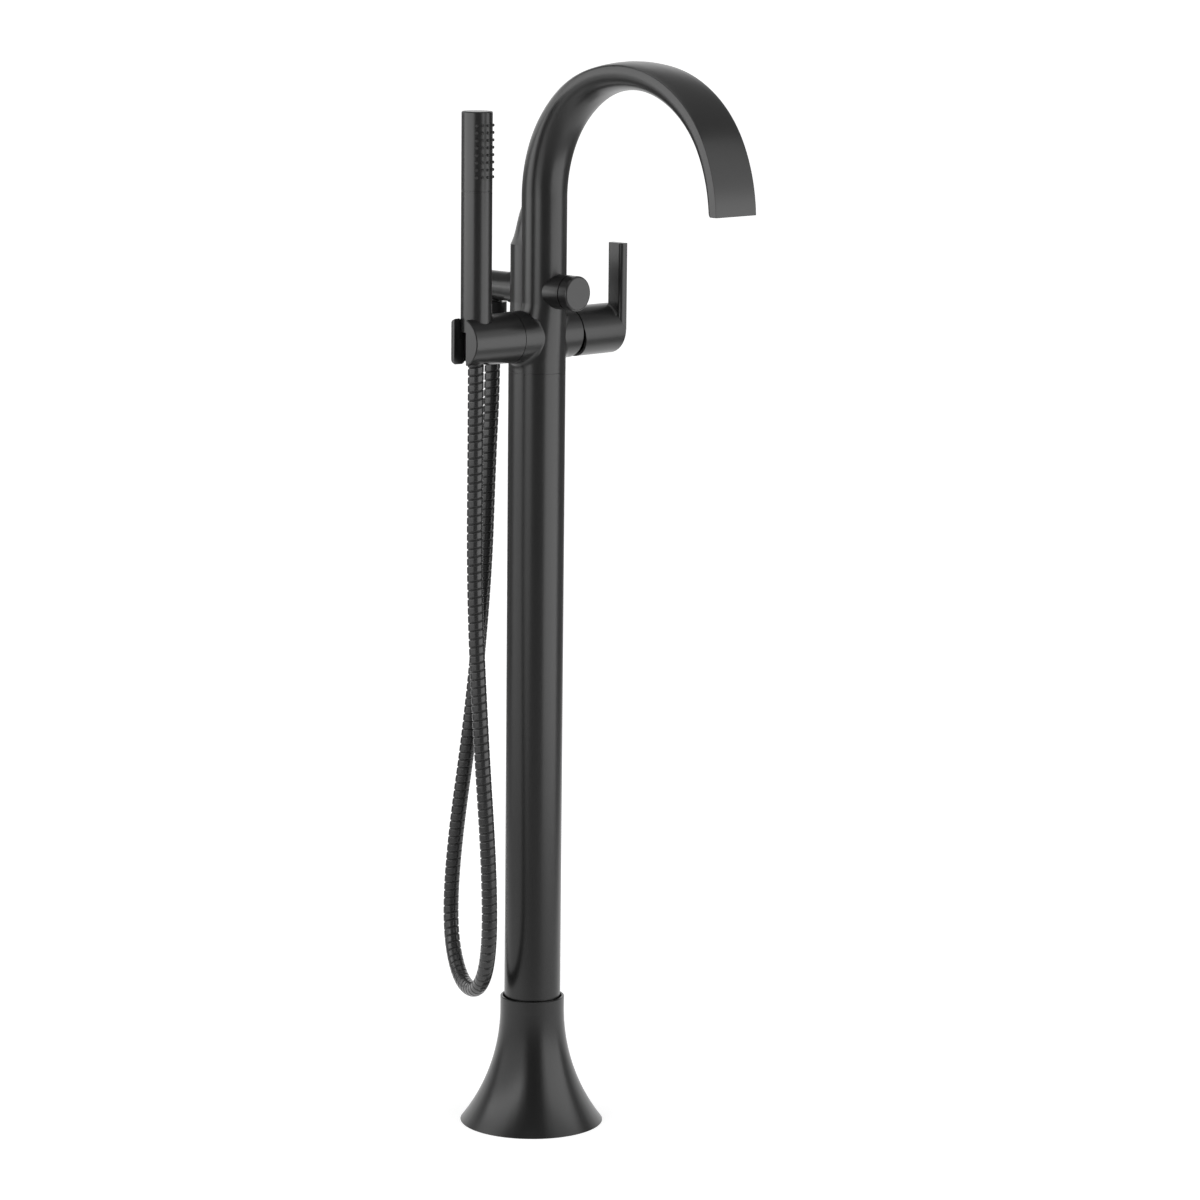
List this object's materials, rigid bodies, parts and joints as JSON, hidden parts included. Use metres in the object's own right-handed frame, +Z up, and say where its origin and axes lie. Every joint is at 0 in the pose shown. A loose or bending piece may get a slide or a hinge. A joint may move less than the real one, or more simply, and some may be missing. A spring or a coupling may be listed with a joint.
{
  "type": "floor-standing tub filler",
  "caption": "Floor-standing tub filler: round column on a flared base, arched ribbon spout, side lever mixer, pull diverter and a hand shower on a hose in a forked cradle.",
  "frame": {"origin": "centre of the base on the floor, on the column's axis", "axes": "+Z up along the column, -Y towards the spout, +X towards the mixer handle"},
  "size_m": [0.2006, 0.3592, 1.0396],
  "materials": {
    "black_metal": "matte black",
    "dark_sleeve": "matte black",
    "hose_metal": "satin black",
    "plate_steel": "zinc plated",
    "screw_steel": "plain",
    "brass": "plain",
    "seal_rubber": "matte",
    "nozzle_rubber": "matte",
    "liner_plastic": "matte",
    "pale_plastic": "matte"
  },
  "bodies": {
    "stand": {"floor_plate": "plate_steel", "base_cover": "black_metal", "cover_seal": "seal_rubber", "column_tube": "black_metal", "column_screws": "screw_steel", "hot_pipe": "brass", "cold_pipe": "brass", "hot_inlet": "brass", "cold_inlet": "brass", "pipe_clip": "pale_plastic", "valve_body": "black_metal", "body_seal": "seal_rubber", "spout": "black_metal", "spout_seal": "seal_rubber", "stream_former": "liner_plastic", "mixer_cartridge": "pale_plastic", "cartridge_nut": "dark_sleeve", "diverter_collar": "black_metal", "diverter_seal": "seal_rubber", "elbow_ring": "black_metal", "hose_elbow": "black_metal", "hose_outlet_nut": "black_metal", "hose_outlet_washer": "seal_rubber", "shower_hose": "hose_metal", "cradle_arm": "black_metal", "cradle_liner": "liner_plastic", "cradle_bolt": "screw_steel"},
    "mixer_carrier": {"cartridge_turret": "pale_plastic", "stem_pin": "screw_steel"},
    "handle": {"mixer_stem": "brass", "handle_lever": "black_metal", "handle_screw": "screw_steel", "handle_plug": "liner_plastic"},
    "diverter": {"diverter_knob": "black_metal", "diverter_stem": "brass", "diverter_piston": "pale_plastic"},
    "hand_shower": {"hand_shower_handle": "black_metal", "hand_shower_head": "black_metal", "head_seal": "seal_rubber", "spray_nozzles": "nozzle_rubber", "hose_cone_nut": "black_metal", "hose_cone_washer": "seal_rubber"}
  },
  "joints": [
    {"name": "mixer_turn", "type": "hinge", "parent": "stand", "child": "mixer_carrier", "pos_m": [0.03, 0, 0.7773], "axis": [1, 0, 0], "range_deg": [-45, 45]},
    {"name": "handle_tilt", "type": "hinge", "parent": "mixer_carrier", "child": "handle", "pos_m": [0.05, 0, 0.7773], "axis": [0, 1, 0], "range_deg": [0, 15]},
    {"name": "diverter_pull", "type": "slide", "parent": "stand", "child": "diverter", "axis": [0, -1, 0], "range_m": [0, 0.006]},
    {"name": "hand_shower_lift", "type": "slide", "parent": "stand", "child": "hand_shower", "axis": [0, 0, 1], "range_m": [0, 0.06]}
  ]
}
